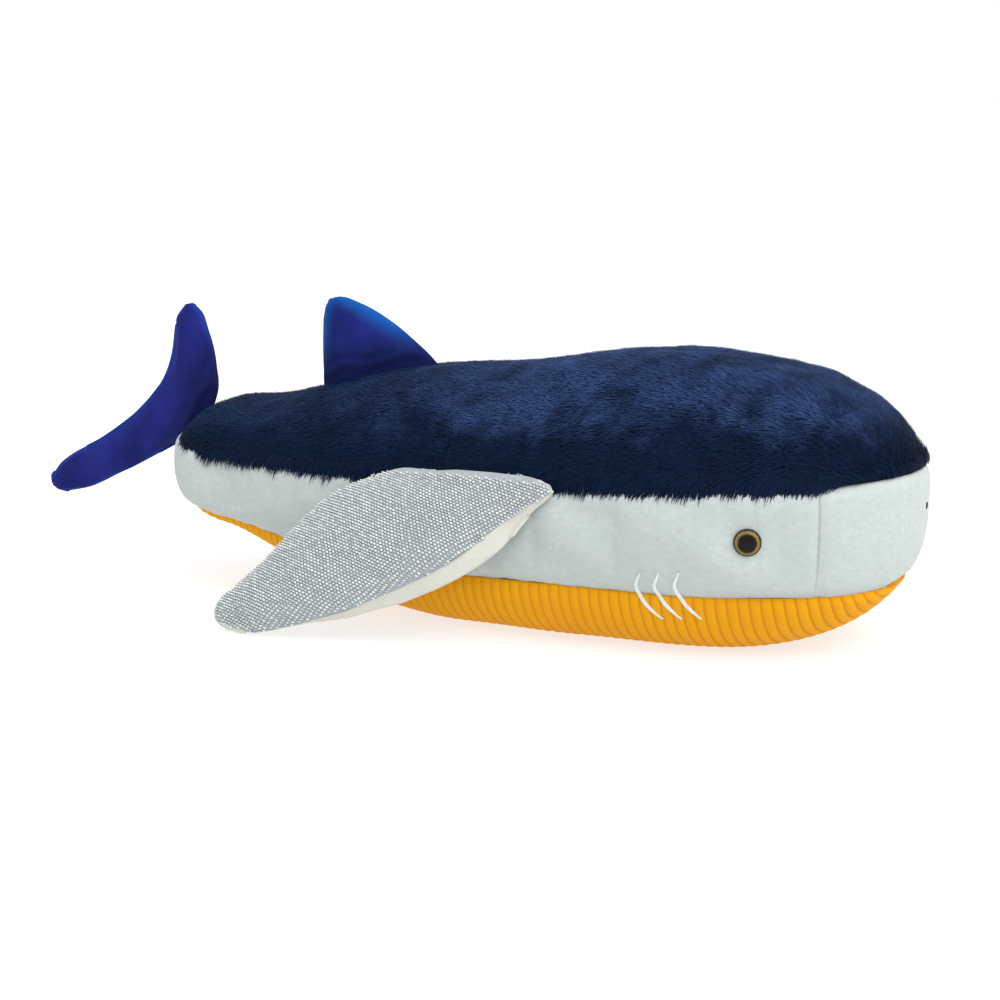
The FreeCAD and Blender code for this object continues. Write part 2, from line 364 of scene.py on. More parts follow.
def ringColumns(step):
    # columns round the body seen from above: origins on its spine and level directions
    front, rear = body["archFront"], body["archRear"]
    straight = np.arange(rear, front, step)
    noseCount = int(math.pi * body["noseRadius"] / step)
    rearCount = int(math.pi * body["rearRadius"] / step)
    nose = np.linspace(0, math.pi, noseCount, endpoint=False)
    tail = np.linspace(0, math.pi, rearCount, endpoint=False)
    xs = np.concatenate([straight, np.full(noseCount + 1, front), straight[:0:-1],
                         np.full(rearCount, rear)])
    turn = np.concatenate([np.zeros(len(straight)), nose, np.full(len(straight), math.pi),
                           math.pi + tail])
    origin = np.stack([xs, 0 * xs, middleLine(xs)], -1)
    level = np.stack([np.sin(turn), -np.cos(turn), 0 * turn], -1)
    return origin, level


def castRing(origin, level, lift):
    # one point for each column at an elevation angle
    up = np.array([0, 0, 1.0])
    direction = level * np.cos(lift)[..., None] + up * np.sin(lift)[..., None]
    return castOut(origin, direction)


def seamLift(origin, level, seam, steepest=1.45):
    # elevation at which each column crosses a seam
    def under(lift):
        point = castRing(origin, level, lift)
        return point[:, 2] < seam(point[:, 0])
    low, high = halve(np.full(len(origin), -steepest), np.full(len(origin), steepest), under, 30)
    return (low + high) / 2


def bodyGrid(step, bellyRows, sideRows, backRows):
    # closed grid from the middle of the belly to the middle of the back
    origin, level = ringColumns(step)
    bellyAt, furAt = seamLift(origin, level, bellySeam), seamLift(origin, level, furSeam)
    quarter = math.pi / 2
    stops = [(-quarter, bellyAt, bellyRows), (bellyAt, furAt, sideRows), (furAt, quarter, backRows)]
    rows = []
    for start, end, count in stops:
        for i in range(count):
            rows.append(start + (end - start) * i / count + 0 * bellyAt)
    rows.append(0 * bellyAt + quarter)
    return np.stack([castRing(origin, level, lift) for lift in rows])


# materials

class Val:
    # a shader socket that can be used in arithmetic
    def __init__(self, shade, socket):
        self.shade, self.socket = shade, socket

    def math(self, kind, a, b=0.0):
        return self.shade.node("ShaderNodeMath", {"operation": kind}, {0: a, 1: b})

    def __add__(self, other):
        return self.math("ADD", self, other)

    def __sub__(self, other):
        return self.math("SUBTRACT", self, other)

    def __rsub__(self, other):
        return self.math("SUBTRACT", other, self)

    def __mul__(self, other):
        return self.math("MULTIPLY", self, other)

    __radd__, __rmul__ = __add__, __mul__

    def clamp(self):
        return self.shade.node("ShaderNodeClamp", {}, {0: self})

    def above(self, edge, soft):
        # 0 under edge, 1 over edge + soft
        return self.shade.node("ShaderNodeMapRange", {"interpolation_type": "SMOOTHSTEP"},
                               {0: self, 1: edge, 2: edge + soft, 3: 0.0, 4: 1.0})


class Graph:
    # a node tree under construction
    def __init__(self, tree):
        self.tree = tree
        tree.nodes.clear()

    def node(self, kind, settings=None, sockets=None, out=0):
        made = self.tree.nodes.new(kind)
        for key, value in (settings or {}).items():
            if key == "stops":
                ramp = made.color_ramp
                while len(ramp.elements) < len(value):
                    ramp.elements.new(0.5)
                for stop, (place, colour) in zip(ramp.elements, value):
                    stop.position, stop.color = place, (*colour, 1)
            else:
                setattr(made, key, value)
        for key, value in (sockets or {}).items():
            if isinstance(value, Val):
                self.tree.links.new(value.socket, made.inputs[key])
            else:
                made.inputs[key].default_value = value
        return Val(self, made.outputs[out])


class Shade(Graph):
    # one material
    def __init__(self, name):
        self.material = bpy.data.materials.new(name)
        self.material.use_nodes = True
        super().__init__(self.material.node_tree)

    def place(self):
        return self.node("ShaderNodeTexCoord", {}, {}, "Object")

    def attribute(self, name):
        return self.node("ShaderNodeAttribute", {"attribute_name": name}, {}, "Fac")

    def stretched(self, scale):
        return self.node("ShaderNodeMapping", {}, {0: self.place(), 3: scale})

    def noise(self, scale, detail=2.0, rough=0.5, at=None):
        return self.node("ShaderNodeTexNoise", {}, {
            "Vector": at or self.place(), "Scale": scale, "Detail": detail, "Roughness": rough})

    def mix(self, factor, a, b):
        full = [c if isinstance(c, Val) else (*c, 1) for c in (a, b)]
        return self.node("ShaderNodeMix", {"data_type": "RGBA"}, {0: factor, 6: full[0], 7: full[1]}, 2)

    def ramp(self, factor, *stops):
        return self.node("ShaderNodeValToRGB", {"stops": stops}, {0: factor})

    def bump(self, height, strength, distance):
        return self.node("ShaderNodeBump", {}, {
            "Height": height, "Strength": strength, "Distance": distance * mm})

    def done(self, **sockets):
        shader = self.node("ShaderNodeBsdfPrincipled", {}, {
            k.replace("_", " "): v for k, v in sockets.items()})
        end = self.tree.nodes.new("ShaderNodeOutputMaterial")
        self.tree.links.new(shader.socket, end.inputs[0])
        return self.material


def srgb(r, g, b):
    # a colour given as screen values from 0 to 255
    parts = [c / 255 for c in (r, g, b)]
    return tuple(c / 12.92 if c <= 0.04045 else ((c + 0.055) / 1.055) ** 2.4 for c in parts)


def navyPile():
    s = Shade("navyPile")
    tint, tip, frost = s.attribute("tint"), s.attribute("tip"), s.attribute("frost")
    patch = s.noise(28.0, 3.0, 0.6)
    # the strands' roots take darker colours than their tips: painted shade deep in the pile
    root = s.mix(patch.above(0.35, 0.3), srgb(5, 13, 28), srgb(9, 21, 42))
    plain = s.mix((tint * 0.6 + patch * 0.5).clamp(), srgb(5, 18, 38), srgb(13, 34, 66))
    # bright is a lit copy of the plain colours; frost mixes it in as painted light on the upward-facing
    # pile
    bright = s.mix((tint * 0.7 + patch * 0.4).clamp(), srgb(24, 44, 86), srgb(66, 92, 144))
    lit = s.mix(frost, plain, bright)
    colour = s.mix((tip * 1.1).clamp(), root, lit)
    return s.done(Base_Color=colour, Roughness=0.65, Specular_IOR_Level=0.06,
                  Sheen_Weight=0.03, Sheen_Roughness=0.4, Sheen_Tint=(*srgb(70, 100, 180), 1))


def speckled(name, grain, edge, dark, light, bump, **sockets):
    # a plain finish: two close colours in a fine grain (scale, detail, roughness)
    s = Shade(name)
    fibre = s.noise(*grain)
    return s.done(Base_Color=s.mix(fibre.above(*edge), dark, light), Normal=s.bump(fibre, *bump),
                  **sockets)


def velour(name, base, deep, sheen):
    s = Shade(name)
    pile = s.noise(1500.0, 3.0, 0.7)
    brushed = s.noise(1.0, 3.0, 0.6, s.stretched((160, 160, 300)))
    broad = s.noise(14.0, 3.0, 0.5)
    colour = s.mix((brushed * 0.35 + pile * 0.65).above(0.25, 0.5), deep, base)
    colour = s.mix(broad.above(0.4, 0.3) * 0.3, colour, deep)
    height = pile * 0.7 + brushed * 0.5
    return s.done(Base_Color=colour, Roughness=0.85, Specular_IOR_Level=0.15,
                  Sheen_Weight=0.2, Sheen_Roughness=0.5, Sheen_Tint=(*sheen, 1),
                  Normal=s.bump(height, 0.3, 0.4))


def corduroy():
    s = Shade("corduroy")
    rib = s.attribute("rib")
    pile = s.noise(1100.0, 3.0, 0.6)
    across = s.noise(1.0, 2.0, 0.5, s.stretched((150, 700, 700)))
    broad = s.noise(18.0, 2.0, 0.5)
    # the valleys between the ribs take the darker orange: painted shade in the grooves
    colour = s.mix(rib.above(0.0, 0.6), srgb(194, 119, 3), srgb(216, 150, 4))
    colour = s.mix((across * 0.5 + pile * 0.5).above(0.42, 0.3) * 0.3, colour, srgb(224, 166, 8))
    colour = s.mix(broad.above(0.45, 0.3) * 0.3, colour, srgb(210, 134, 12))
    return s.done(Base_Color=colour, Roughness=0.85, Specular_IOR_Level=0.2, Sheen_Weight=0.08,
                  Sheen_Roughness=0.5, Sheen_Tint=(*srgb(255, 190, 50), 1),
                  Normal=s.bump(across * 0.5 + pile * 0.5, 0.35, 0.5))


def weaveYarn():
    s = Shade("silverWeave")
    tint = s.attribute("tint")
    fibre = s.noise(1900.0, 3.0, 0.6)
    broad = s.noise(22.0, 2.0, 0.5)
    yarn = s.ramp(tint * 0.8 + broad * 0.3, (0.0, srgb(172, 180, 184)), (0.3, srgb(190, 197, 199)),
                  (0.7, srgb(206, 211, 210)), (1.0, srgb(221, 224, 221)))
    colour = s.mix(fibre.above(0.5, 0.2) * 0.2, yarn, srgb(128, 138, 148))
    return s.done(Base_Color=colour, Roughness=0.7, Specular_IOR_Level=0.3, Sheen_Weight=0.2,
                  Sheen_Roughness=0.5, Normal=s.bump(fibre, 0.4, 0.3))


def velvet(name, base, deep, rim, sheen):
    s = Shade(name)
    pile = s.noise(1300.0, 3.0, 0.7)
    brushed = s.noise(26.0, 4.0, 0.6)
    root = s.attribute("root")
    colour = s.mix(brushed.above(0.3, 0.4), deep, base)
    colour = s.mix(pile.above(0.45, 0.25) * 0.3, colour, deep)
    # darker navy towards the fin's root: painted shade where the fin meets the body
    colour = s.mix(root * 0.75, colour, srgb(14, 24, 66))
    # paler blue towards the fin's edges: painted sheen along the rim
    colour = s.mix(s.attribute("rim") * 0.7, colour, rim)
    return s.done(Base_Color=colour, Roughness=0.8, Specular_IOR_Level=0.1, Sheen_Weight=0.2,
                  Sheen_Roughness=0.35, Sheen_Tint=(*sheen, 1),
                  Normal=s.bump(pile + brushed * 0.4, 0.3, 0.5))


def eyeGlass():
    # rings of an animal eye: black pupil, flecked amber iris, black rim
    s = Shade("eyeGlass")
    ring = s.attribute("ring")
    fleck = s.noise(420.0, 4.0, 0.65)
    iris = s.ramp(ring + (fleck - 0.5) * 0.16, (0.0, srgb(8, 8, 8)), (0.6, srgb(10, 9, 6)),
                  (0.68, srgb(74, 60, 26)), (0.8, srgb(136, 118, 62)), (0.9, srgb(84, 72, 36)),
                  (0.96, srgb(20, 16, 10)))
    return s.done(Base_Color=iris, Roughness=0.25, Specular_IOR_Level=0.12, Coat_Weight=0.12,
                  Coat_Roughness=0.05)


def thread(name, light, dark):
    s = Shade(name)
    strand = s.noise(1.0, 2.0, 0.5, s.stretched((900, 900, 3200)))
    return s.done(Base_Color=s.mix(strand.above(0.35, 0.35), dark, light), Roughness=0.6,
                  Specular_IOR_Level=0.12, Normal=s.bump(strand, 0.4, 0.15))


def washerPlastic():
    s = Shade("washerPlastic")
    grain = s.noise(700.0, 2.0)
    return s.done(Base_Color=s.mix(grain, srgb(206, 208, 208), srgb(224, 226, 226)),
                  Roughness=0.45, Normal=s.bump(grain, 0.2, 0.1))


def paint(thing, material):
    thing.data.materials.clear()
    thing.data.materials.append(material)


def settle(thing, node):
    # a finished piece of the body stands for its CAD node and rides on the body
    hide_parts(node)
    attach(thing, "body")


def settleFin(thing, node):
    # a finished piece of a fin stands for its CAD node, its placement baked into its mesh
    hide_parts(node)
    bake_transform(thing)


# geometry nodes: pile and stitches

class Geo(Graph):
    # one geometry nodes tree with named inputs
    def __init__(self, name, **inputs):
        super().__init__(bpy.data.node_groups.new(name, "GeometryNodeTree"))
        self.sockets = {}
        face = self.tree.interface
        face.new_socket("Geometry", in_out="INPUT", socket_type="NodeSocketGeometry")
        for key, kind in inputs.items():
            made = face.new_socket(key, in_out="INPUT", socket_type="NodeSocket" + kind)
            self.sockets[key] = made.identifier
        face.new_socket("Geometry", in_out="OUTPUT", socket_type="NodeSocketGeometry")
        self.start = self.tree.nodes.new("NodeGroupInput")

    def input(self, name):
        return Val(self, self.start.outputs[name])

    def named(self, name, kind="FLOAT"):
        return self.node("GeometryNodeInputNamedAttribute", {"data_type": kind}, {"Name": name})

    def random(self, low, high, seed):
        return self.node("FunctionNodeRandomValue", {"data_type": "FLOAT"},
                         {2: low, 3: high, "Seed": seed}, 1)

    def aligned(self, first, firstAxis, second, secondAxis):
        # a rotation that points one axis along first, then another towards second
        kind = "FunctionNodeAlignRotationToVector"
        turn = self.node(kind, {"axis": firstAxis}, {"Vector": first})
        return self.node(kind, {"axis": secondAxis, "pivot_axis": firstAxis},
                         {"Rotation": turn, "Vector": second})

    def place(self, points, piece, turn, scale, tint):
        # the piece at every point as real mesh, with a random tint for each, in the tree's material
        info = self.node("GeometryNodeObjectInfo", {}, {"Object": self.input(piece)}, "Geometry")
        laid = self.node("GeometryNodeInstanceOnPoints", {}, {
            "Points": points, "Instance": info, "Rotation": turn, "Scale": scale})
        kept = self.node("GeometryNodeStoreNamedAttribute", {"data_type": "FLOAT", "domain": "INSTANCE"},
                         {"Geometry": laid, "Name": "tint", "Value": tint})
        real = self.node("GeometryNodeRealizeInstances", {}, {"Geometry": kept})
        done = self.node("GeometryNodeSetMaterial", {}, {
            "Geometry": real, "Material": self.input("Material")})
        end = self.tree.nodes.new("NodeGroupOutput")
        self.tree.links.new(done.socket, end.inputs[0])


def pileTree():
    # strands scattered over a skin, leaning the way it is combed
    g = Geo("pile", Density="Float", Width="Float", Loose="Float", Seed="Int", Strand="Object",
            Material="Material")
    scatter = g.node("GeometryNodeDistributePointsOnFaces", {"distribute_method": "RANDOM"}, {
        "Mesh": g.input("Geometry"), "Density": g.input("Density"), "Seed": g.input("Seed")})
    out = Val(g, scatter.socket.node.outputs["Normal"])
    stray = g.node("FunctionNodeRandomValue", {"data_type": "FLOAT_VECTOR"},
                   {0: (-1, -1, -1), 1: (1, 1, 1), "Seed": 5})
    stray = g.node("ShaderNodeVectorMath", {"operation": "SCALE"}, {0: stray, "Scale": g.input("Loose")})
    lean = g.node("ShaderNodeVectorMath", {"operation": "ADD"},
                  {0: g.named("comb", "FLOAT_VECTOR"), 1: stray})
    kept = g.node("GeometryNodeStoreNamedAttribute", {"data_type": "FLOAT_VECTOR", "domain": "POINT"},
                  {"Geometry": scatter, "Name": "outward", "Value": out})
    turn = g.aligned(lean, "Z", g.named("outward", "FLOAT_VECTOR"), "Y")
    length = g.named("length") * g.random(0.65, 1.2, 2)
    width = g.input("Width") * g.random(0.7, 1.3, 3)
    scale = g.node("ShaderNodeCombineXYZ", {}, {0: width, 1: length, 2: length})
    g.place(kept, "Strand", turn, scale, g.random(0.0, 1.0, 4))
    return g


def stitchTree():
    # one thread at each point, across the seam and standing on the cloth
    g = Geo("stitches", Thick="Float", Seed="Int", Thread="Object", Material="Material")
    turn = g.aligned(g.named("across", "FLOAT_VECTOR"), "X", g.named("outward", "FLOAT_VECTOR"), "Z")
    thick = g.input("Thick") * g.random(0.85, 1.15, 3)
    scale = g.node("ShaderNodeCombineXYZ", {}, {0: g.named("length"), 1: thick, 2: thick})
    g.place(g.input("Geometry"), "Thread", turn, scale, g.random(0.0, 1.0, g.input("Seed")))
    return g


def grow(name, base, tree, **inputs):
    # runs a tree on a base mesh and keeps the result as a plain mesh
    modifier = base.modifiers.new(tree.tree.name, "NODES")
    modifier.node_group = tree.tree
    for key, value in inputs.items():
        modifier[tree.sockets[key]] = value
    bpy.context.view_layer.update()
    ready = base.evaluated_get(bpy.context.evaluated_depsgraph_get())
    mesh = bpy.data.meshes.new_from_object(ready)
    bpy.data.objects.remove(base)
    mesh.name = name
    thing = newObject(name, mesh)
    paint(thing, inputs["Material"])
    print(name, len(mesh.polygons))
    return thing


def strandShape():
    # a flat strand, 1 long and 1 wide, that curls over towards its tip
    points = [(-0.5, 0, 0), (0.5, 0, 0), (0.42, -0.06, 0.5), (-0.42, -0.06, 0.5), (0.0, -0.24, 0.95)]
    mesh = bpy.data.meshes.new("strand")
    mesh.from_pydata(points, [], [(0, 1, 2, 3), (3, 2, 4)])
    tip = mesh.attributes.new("tip", "FLOAT", "POINT")
    tip.data.foreach_set("value", [0.0, 0.0, 0.55, 0.55, 1.0])
    mesh.polygons.foreach_set("use_smooth", [True, True])
    return newObject("strand", mesh)


def threadShape(sides=6, steps=6):
    # a thread, 1 long and 1 thick, that dips into the cloth at both ends
    s = np.linspace(-0.5, 0.5, steps + 1)
    a = np.arange(sides) * 2 * math.pi / sides
    lift = 0.55 - 2.6 * np.abs(s * 2) ** 4 * 0.5
    ring = np.stack([0 * a, np.cos(a) * 0.5, np.sin(a) * 0.5], -1)
    points = ring[None] + np.stack([s, 0 * s, lift], -1)[:, None]
    thing = meshFrom("thread", points.reshape(-1, 3) / mm, gridFaces(steps + 1, sides, True))
    cleanMesh(thing.data, close=True)
    return thing


def nubShape():
    # one float of thick yarn, 1 long and 1 wide, domed above a flat foot
    u, v = np.meshgrid(np.linspace(-1, 1, 5), np.linspace(-1, 1, 4), indexing="ij")
    high = (1 - np.abs(u) ** 2.4) * (1 - np.abs(v) ** 2.0)
    bulge = 1 - 0.22 * u * u
    points = np.stack([u * 0.5 * (1 - 0.12 * v * v), v * 0.5 * bulge, high], -1).reshape(-1, 3)
    rim = [0, 1, 2, 3, 7, 11, 15, 19, 18, 17, 16, 12, 8, 4]
    mesh = bpy.data.meshes.new("nub")
    mesh.from_pydata(points, [], gridFaces(5, 4, False, True).tolist() + [rim])
    mesh.polygons.foreach_set("use_smooth", [True] * 12 + [False])
    cleanMesh(mesh)
    return newObject("nub", mesh)


pile, stitches = pileTree(), stitchTree()
strand, threadPiece, nubPiece = strandShape(), threadShape(), nubShape()


def stitchLine(name, spots, across, outward, length, thick, material, shape=threadPiece, seed=1):
    # threads at points (millimetres), each lying along across
    base = meshFrom(name + "Base", spots, np.array([[0, 1, 2]]), values={
        "across": np.asarray(across), "outward": np.asarray(outward),
        "length": np.asarray(length, float) * mm})
    edit = bmesh.new()
    edit.from_mesh(base.data)
    bmesh.ops.delete(edit, geom=edit.faces[:], context="FACES_ONLY")
    edit.to_mesh(base.data)
    edit.free()
    return grow(name, base, stitches, Thick=thick * mm, Seed=seed, Thread=shape, Material=material)


def clothTree(*things):
    # the surfaces of finished pieces, for laying stitches on
    points, faces = [], []
    for thing in things:
        start = len(points)
        points += [v.co / mm for v in thing.data.vertices]
        faces += [[start + i for i in p.vertices] for p in thing.data.polygons]
    return BVHTree.FromPolygons(points, faces)


def layOn(tree, origins, directions):
    # where rays meet the cloth, and the cloth's outward direction there
    spots, outs = [], []
    for origin, way in zip(origins, directions):
        spot, out, _, _ = tree.ray_cast(Vector(origin), Vector(way))
        if spot is not None:
            spots.append(spot)
            outs.append(out if out.dot(Vector(way)) < 0 else -out)
    return np.array(spots), np.array(outs)


def sideSpot(x, z, sign=-1):
    # point of the body's side and the direction out of it
    def at(x, z):
        half, top, bottom, middle = (float(v[0]) for v in bodySize(np.array([x])))
        high = z >= middle
        rise = (z - middle) / (top - middle) if high else (middle - z) / (middle - bottom)
        power = body["upperPower" if high else "lowerPower"]
        return np.array([x, sign * half * (1 - rise ** power) ** (1 / power), z])
    spot = at(x, z)
    out = unit(np.cross(at(x + 1, z) - spot, at(x, z + 1) - spot))
    return spot, out * np.sign(out[1] * sign)


def lathe(name, profile, spot, out, sides=64, values=None):
    # a turned piece about a line, from (radius, height) pairs
    side = unit(np.cross(out, np.array([0.1, 0.2, 1.0])))
    other = np.cross(out, side)
    a = np.arange(sides) * 2 * math.pi / sides
    r, h = np.array(profile, float).T
    points = (spot + out * h[:, None, None] + side * (r[:, None] * np.cos(a))[..., None]
              + other * (r[:, None] * np.sin(a))[..., None])
    spread = {k: np.repeat(np.asarray(v, float), sides) for k, v in (values or {}).items()}
    return meshFrom(name, points.reshape(-1, 3), gridFaces(len(r), sides, True), spread, 0.01)


# body panels

panels = {"step": 7.0, "bellyRows": 20, "sideRows": 12, "backRows": 26, "fineSide": 3.0,
          "fineBack": 2.4, "pinch": 2.6, "pinchWidth": 5.0, "thick": 2.0, "fill": 0.8,
          "lumps": 0.7, "lumpSize": 46, "crown": 1.6, "crownFade": (320, 385), "eyeDip": 0.4,
          "dartX": 296, "dartWidth": 2.6, "dartDepth": 0.9, "dartRise": (103, 112),
          "snoutSwell": (310, 380), "poleFade": (14, 50)}

print("body grid")
coarse = bodyGrid(panels["step"], panels["bellyRows"], panels["sideRows"], panels["backRows"])
bellyEnd, sideEnd = panels["bellyRows"], panels["bellyRows"] + panels["sideRows"]
coarseCols = coarse.shape[1]
flatBody = coarse.copy()
bodyFill = {"pressure": 3.0, "stiff": 12.0, "bend": 0.3, "slack": 0.02, "steps": 20, "smooth": 1,
            "cap": 5.0}
bagIndex = np.arange(coarse.shape[0] * coarseCols).reshape(coarse.shape[:2])
poles += [coarse[row, np.argmin(np.abs(coarse[row, :, 0] - x))]
          for row in (0, -1) for x in (body["archFront"], body["archRear"])]
toPole = np.min([np.linalg.norm(coarse - p, axis=-1) for p in poles], axis=0)
atPole = toPole < panels["poleFade"][0]
bodyPins = np.concatenate([bagIndex[bellyEnd], bagIndex[sideEnd], bagIndex[atPole]])
coarse, = plump("bodyBag", [coarse], gridFaces(*coarse.shape[:2], True), bodyPins, bodyFill)
swelling = fade(toPole, *panels["poleFade"])
swelling = swelling * (1 - 0.8 * fade(coarse[..., 0], *panels["snoutSwell"]))
swelling[sideEnd:] *= 0.4       # the pile hides most of the back's swelling
coarse = flatBody + (coarse - flatBody) * swelling[..., None]


def seamPinch(distance, depth=1.0, width=1.0):
    return -panels["pinch"] * depth * np.exp(-(distance / (panels["pinchWidth"] * width)) ** 2)


def rowDistance(grid, start=True):
    # length along each column from its first or last row
    steps = np.linalg.norm(np.diff(grid, axis=0), axis=-1)
    run = np.concatenate([np.zeros((1, grid.shape[1])), np.cumsum(steps, 0)])
    return run if start else run[-1] - run


def fineRows(first, last, fine):
    return first + np.arange(round((last - first) * fine) + 1) / fine


def pucker(points, distance, reach=11.0, depth=0.7):
    # small gathers that fade away from a seam
    return depth * wander(points * np.array([1, 1, 0.35]), 9.0, 5) * np.exp(-distance / reach)


eyeBox = {side: [np.array(c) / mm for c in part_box("eye_" + side)] for side in ("right", "left")}


def nearEye(grid, reach=15.0):
    # 1 at an eye, 0 away from both
    total = 0
    for side, (low, high) in eyeBox.items():
        spot = (low + high) / 2
        spot[1] = high[1] if side == "left" else low[1]
        total = total + np.exp(-(np.linalg.norm(grid - spot, axis=-1) / reach) ** 2)
    return np.minimum(total * 1.2, 1)


def sidePart(rows, cols):
    # velour between two seams: pinched at the seams, rounded between them, flat at the eyes
    grid = sample(coarse, rows, cols, True)
    near = nearEye(grid)
    grid = grid + (sample(flatBody, rows, cols, True) - grid) * near[..., None]
    out = gridNormals(grid)
    up, down = rowDistance(grid), rowDistance(grid, False)
    snoutGap = np.abs(grid[..., 0] - body["snoutSeam"])
    lift = seamPinch(up) + seamPinch(down) + seamPinch(snoutGap, 0.5, 0.55)
    lift += pucker(grid, up) + pucker(grid, down) + panels["lumps"] * wander(grid, panels["lumpSize"], 2)
    between = np.clip(up / np.maximum(up + down, 1), 0, 1)
    lift += panels["crown"] * (1 - fade(grid[..., 0], *panels["crownFade"])) * np.sin(np.pi * between)
    dart = np.exp(-((grid[..., 0] - panels["dartX"]) / panels["dartWidth"]) ** 2)
    dart = dart * fade(grid[..., 2], *panels["dartRise"])
    lift = (lift - panels["dartDepth"] * dart) * (1 - near) - panels["eyeDip"] * near
    return grid + out * lift[..., None]


def snoutColumn(sign):
    # fractional column of the coarse grid that lies on the snout seam
    row = coarse[(bellyEnd + sideEnd) // 2]
    for c in range(coarseCols):
        a, b = row[c], row[(c + 1) % coarseCols]
        if (a[0] - body["snoutSeam"]) * (b[0] - body["snoutSeam"]) <= 0 and a[1] * sign > 0:
            return c + (body["snoutSeam"] - a[0]) / (b[0] - a[0])


paleVelour = velour("paleVelour", srgb(189, 197, 193), srgb(164, 174, 174), srgb(225, 235, 240))
skins = []
rightSeam, leftSeam = snoutColumn(-1), snoutColumn(1)
rearMiddle = coarseCols - int(math.pi * body["rearRadius"] / panels["step"]) / 2
sideRowsFine = fineRows(bellyEnd, sideEnd, panels["fineSide"])
spans = {"sidePanelRight": (rearMiddle - coarseCols, rightSeam, "side_panel_right"),
         "snoutPanel": (rightSeam, leftSeam, "snout_panel"),
         "sidePanelLeft": (leftSeam, rearMiddle, "side_panel_left")}
for name, (first, last, node) in spans.items():
    cols = np.linspace(first, last, round((last - first) * panels["fineSide"]))
    piece = panelMesh(name, sidePart(sideRowsFine, cols), panels["thick"])
    paint(piece, paleVelour)
    settle(piece, node)
    skins.append(piece)
    print(name, len(piece.data.polygons))

# back panel under the pile
fur = {"length": 6.6, "hem": 13.0, "hemReach": 12.0, "width": 0.85, "density": 1.12, "loose": 0.22,
       "depth": 4.5, "sinkReach": 14, "lumps": 1.4, "lumpSize": 34, "backing": 1.2, "scalp": 0.9,
       "upright": 0.75, "flatter": 0.45, "swirl": 0.45, "stray": 0.2, "droop": 0.6, "rise": 0.9}
backRowsFine = fineRows(sideEnd, len(coarse) - 1, panels["fineBack"])
backCols = np.arange(0, coarseCols, 1 / panels["fineBack"])
backGrid = sample(coarse, backRowsFine, backCols, True)
backGrid[-1] = sample(coarse, np.array([len(coarse) - 1.0]), backCols, True)[0]
backOut = gridNormals(backGrid, True)
backDown = rowDistance(backGrid)
backSink = (fur["depth"] + fur["backing"]) * fade(backDown, 0, fur["sinkReach"])
backLift = seamPinch(backDown) - backSink + fur["lumps"] * wander(backGrid, fur["lumpSize"], 3)
backSkin = backGrid + backOut * backLift[..., None]
piece = panelMesh("backPanel", backSkin, panels["thick"], True)
paint(piece, speckled("navyBacking", (900.0, 3.0, 0.6), (0.35, 0.3), srgb(6, 16, 34),
                      srgb(11, 26, 52), (0.6, 1.0), Roughness=0.9, Specular_IOR_Level=0.03))
settle(piece, "back_panel")
print("backPanel", len(piece.data.polygons))

# the brushed pile of the back, in four parts
scalpRows = np.linspace(sideEnd, len(coarse) - 1, 70)
navyFur = navyPile()


def scalp(name, rows, cols):
    # the skin that strands grow from, with their direction, length and painted top light at each point
    grid = sample(coarse, rows, cols, True)
    out = gridNormals(grid)
    down = rowDistance(grid)
    lift = -fur["depth"] * fade(down, 0, fur["sinkReach"]) - fur["scalp"]
    lift = lift + fur["lumps"] * wander(grid, fur["lumpSize"], 3)
    grid = grid + out * lift[..., None]
    edge = 1 - fade(down, 2, fur["hemReach"])
    swirl, fine = lumps(grid, 24, (21, 22, 23)), lumps(grid, 9, (24, 25, 26))
    front = fade(out[..., 0], 0.35, 0.8)        # on the snout the pile lies up and back
    hanging = edge * (1 - front)
    way = np.array([-1.0, 0, 0]) + np.array([0, 0, -fur["droop"]]) * np.abs(out[..., 1:2])
    loose = (fur["swirl"] * swirl + fur["stray"] * fine) * (1 - 0.6 * edge)[..., None]
    way = way + loose * (1 - 0.7 * front)[..., None]
    way = way + hanging[..., None] * np.array([0.6, 0, -1.0])
    way = way + front[..., None] * np.array([0, 0, fur["rise"]])
    way = unit(onCloth(way, out))
    upright = fur["upright"] - fur["flatter"] * np.maximum(edge, 0.8 * front)
    comb = way + out * upright[..., None]
    ragged = 0.5 + 0.5 * wander(grid * np.array([1, 1, 0.2]), 11, 27)
    length = fur["length"] * (0.9 + 0.25 * wander(grid, 14, 28))
    length = length * (1 - hanging) + hanging * fur["hem"] * (0.55 + 0.75 * ragged)
    # frost: painted light, lighter tips where the skin faces up, in patches, fading towards the tail
    patches = 0.55 * wander(grid, 16, 29) + 0.35 * wander(grid, 6, 30)
    frost = np.clip(fade(out[..., 2] + 0.22 * patches, 0.42, 0.86) * (0.75 + 0.6 * patches), 0, 1)
    frost = frost * (0.3 + 0.7 * fade(grid[..., 0], -60, 130))
    return meshFrom(name + "Scalp", grid.reshape(-1, 3), gridFaces(*grid.shape[:2]), values={
        "comb": comb.reshape(-1, 3), "length": length.ravel() * mm, "frost": frost.ravel()})


quarters = np.linspace(0, coarseCols, 5)
for i, name in enumerate(("furPileRight", "furPileSnout", "furPileLeft", "furPileTail")):
    cols = np.linspace(quarters[i], quarters[i + 1], int(coarseCols / 2))
    piece = grow(name, scalp(name, scalpRows, cols), pile, Density=fur["density"] * 1e6,
                 Width=fur["width"] * mm, Loose=fur["loose"], Seed=31 + i, Strand=strand,
                 Material=navyFur)
    settle(piece, "back_panel")

# belly panel: ribs straight across the cloth
ribs = {"pitch": 8.0, "depth": 1.15, "perRib": 6, "around": 96, "lumps": 0.8}


